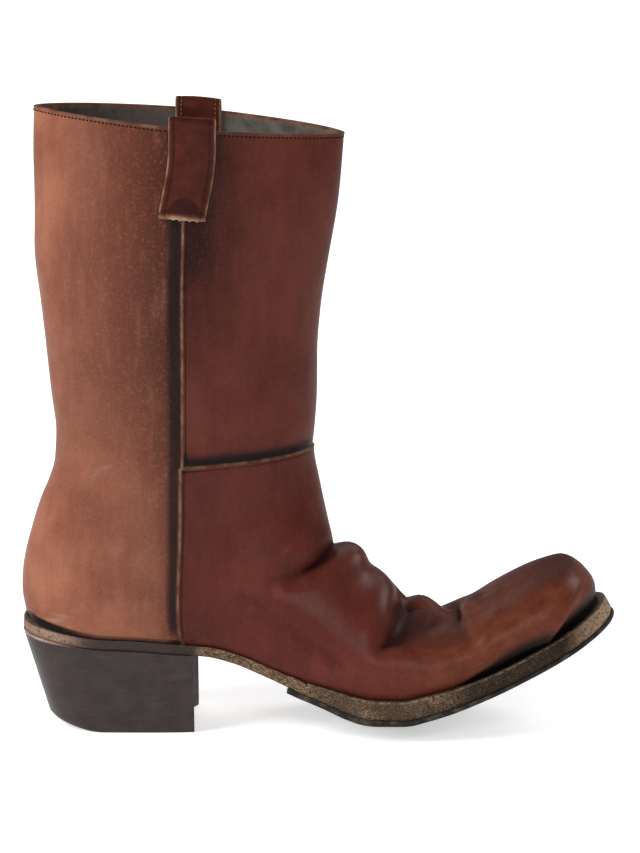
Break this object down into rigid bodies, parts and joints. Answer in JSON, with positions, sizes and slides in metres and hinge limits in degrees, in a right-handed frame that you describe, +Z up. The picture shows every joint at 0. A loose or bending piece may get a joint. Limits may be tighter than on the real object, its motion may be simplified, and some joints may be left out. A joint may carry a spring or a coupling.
{
  "type": "leather boot",
  "caption": "Mid-calf pull-on leather boot with a hollow upper, welted sole, stacked underslung heel and two pull straps.",
  "frame": {"origin": "middle of the bounding box's bottom face, on the floor the boot stands on", "axes": "+X from heel to toe, +Y to the boot's own left, its medial side, +Z up the shaft"},
  "size_m": [0.3094, 0.0996, 0.3256],
  "materials": {
    "upper_leather": "waxed, burnished brown",
    "insole_leather": "plain vegetable tan",
    "sole_leather": "worn, grey-brown edge",
    "heel_leather": "dark stained stack",
    "sole_rubber": "matt black"
  },
  "bodies": {
    "root": {"upper": "upper_leather", "pull_strap_lateral": "upper_leather", "pull_strap_medial": "upper_leather", "insole": "insole_leather", "welt": "sole_leather", "outsole": "sole_leather", "half_sole": "sole_rubber", "heel_stack": "heel_leather", "heel_top_piece": "sole_rubber"}
  },
  "joints": []
}
